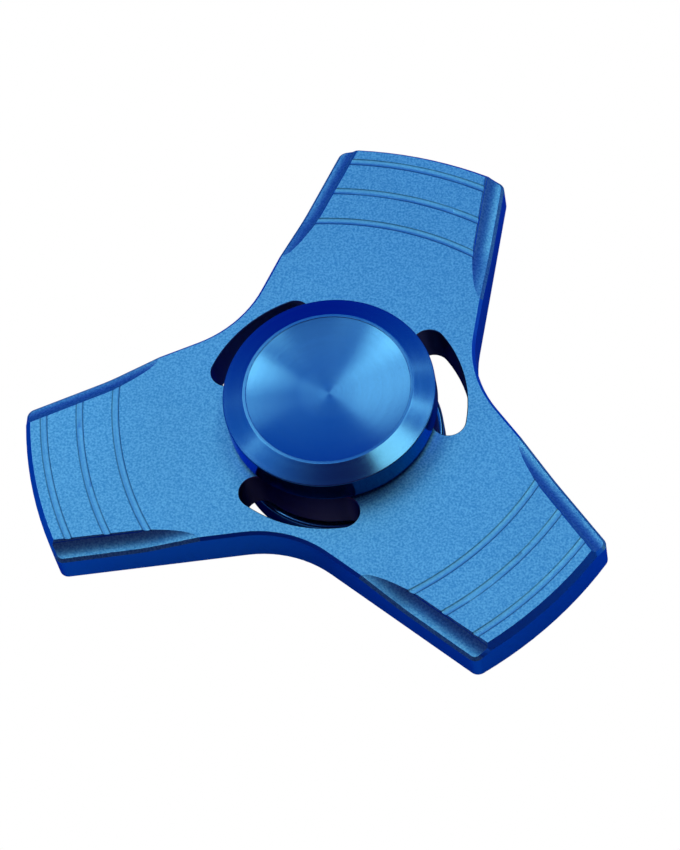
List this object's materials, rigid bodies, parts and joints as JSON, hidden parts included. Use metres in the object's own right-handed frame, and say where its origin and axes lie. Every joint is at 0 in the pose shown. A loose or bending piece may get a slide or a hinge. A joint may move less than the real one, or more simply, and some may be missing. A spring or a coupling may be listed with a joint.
{
  "type": "fidget spinner",
  "caption": "Flat metal fidget spinner with flared arms, turning on a shielded ball bearing between dished finger caps.",
  "frame": {"origin": "centre of the ball bearing, on the spin axis at the body's mid thickness", "axes": "+Z along the spin axis towards the upper finger cap, +Y along the middle of one arm"},
  "size_m": [0.0748, 0.0661, 0.0162],
  "materials": {
    "anodised_body": "bead-blasted, blue anodised, satin",
    "anodised_cap": "turned, blue anodised, glossy",
    "ring_steel": "ground bearing steel",
    "ball_steel": "polished bearing steel",
    "cage_steel": "pressed sheet steel",
    "shield_steel": "pressed sheet steel",
    "clip_steel": "drawn spring wire"
  },
  "bodies": {
    "hub": {"bottom_cap": "anodised_cap", "top_cap": "anodised_cap", "bearing_inner_ring": "ring_steel"},
    "spinner": {"spinner_body": "anodised_body", "bearing_outer_ring": "ring_steel", "shield_upper": "shield_steel", "shield_lower": "shield_steel", "snap_ring_upper": "clip_steel", "snap_ring_lower": "clip_steel"},
    "cage": {"cage_upper": "cage_steel", "cage_lower": "cage_steel", "cage_rivets": "cage_steel"},
    "ball_1": {"ball_1": "ball_steel"},
    "ball_2": {"ball_2": "ball_steel"},
    "ball_3": {"ball_3": "ball_steel"},
    "ball_4": {"ball_4": "ball_steel"},
    "ball_5": {"ball_5": "ball_steel"},
    "ball_6": {"ball_6": "ball_steel"},
    "ball_7": {"ball_7": "ball_steel"}
  },
  "joints": [
    {"name": "body_spin", "type": "hinge", "parent": "hub", "child": "spinner", "pos_m": [0, 0, 0], "axis": [0, 0, 1], "continuous": true},
    {"name": "cage_spin", "type": "hinge", "parent": "hub", "child": "cage", "pos_m": [0, 0, 0], "axis": [0, 0, 1], "continuous": true},
    {"name": "ball_1_roll", "type": "hinge", "parent": "cage", "child": "ball_1", "pos_m": [0, 0.0075, 0], "axis": [0, 0, 1], "continuous": true},
    {"name": "ball_2_roll", "type": "hinge", "parent": "cage", "child": "ball_2", "pos_m": [-0.00586, 0.00468, 0], "axis": [0, 0, 1], "continuous": true},
    {"name": "ball_3_roll", "type": "hinge", "parent": "cage", "child": "ball_3", "pos_m": [-0.00731, -0.00167, 0], "axis": [0, 0, 1], "continuous": true},
    {"name": "ball_4_roll", "type": "hinge", "parent": "cage", "child": "ball_4", "pos_m": [-0.00325, -0.00676, 0], "axis": [0, 0, 1], "continuous": true},
    {"name": "ball_5_roll", "type": "hinge", "parent": "cage", "child": "ball_5", "pos_m": [0.00325, -0.00676, 0], "axis": [0, 0, 1], "continuous": true},
    {"name": "ball_6_roll", "type": "hinge", "parent": "cage", "child": "ball_6", "pos_m": [0.00731, -0.00167, 0], "axis": [0, 0, 1], "continuous": true},
    {"name": "ball_7_roll", "type": "hinge", "parent": "cage", "child": "ball_7", "pos_m": [0.00586, 0.00468, 0], "axis": [0, 0, 1], "continuous": true}
  ],
  "couplings": [
    {"joint": "cage_spin", "follows": "body_spin", "ratio": 0.6323},
    {"joint": "ball_1_roll", "follows": "body_spin", "ratio": 1.7573},
    {"joint": "ball_2_roll", "follows": "body_spin", "ratio": 1.7573},
    {"joint": "ball_3_roll", "follows": "body_spin", "ratio": 1.7573},
    {"joint": "ball_4_roll", "follows": "body_spin", "ratio": 1.7573},
    {"joint": "ball_5_roll", "follows": "body_spin", "ratio": 1.7573},
    {"joint": "ball_6_roll", "follows": "body_spin", "ratio": 1.7573},
    {"joint": "ball_7_roll", "follows": "body_spin", "ratio": 1.7573}
  ]
}
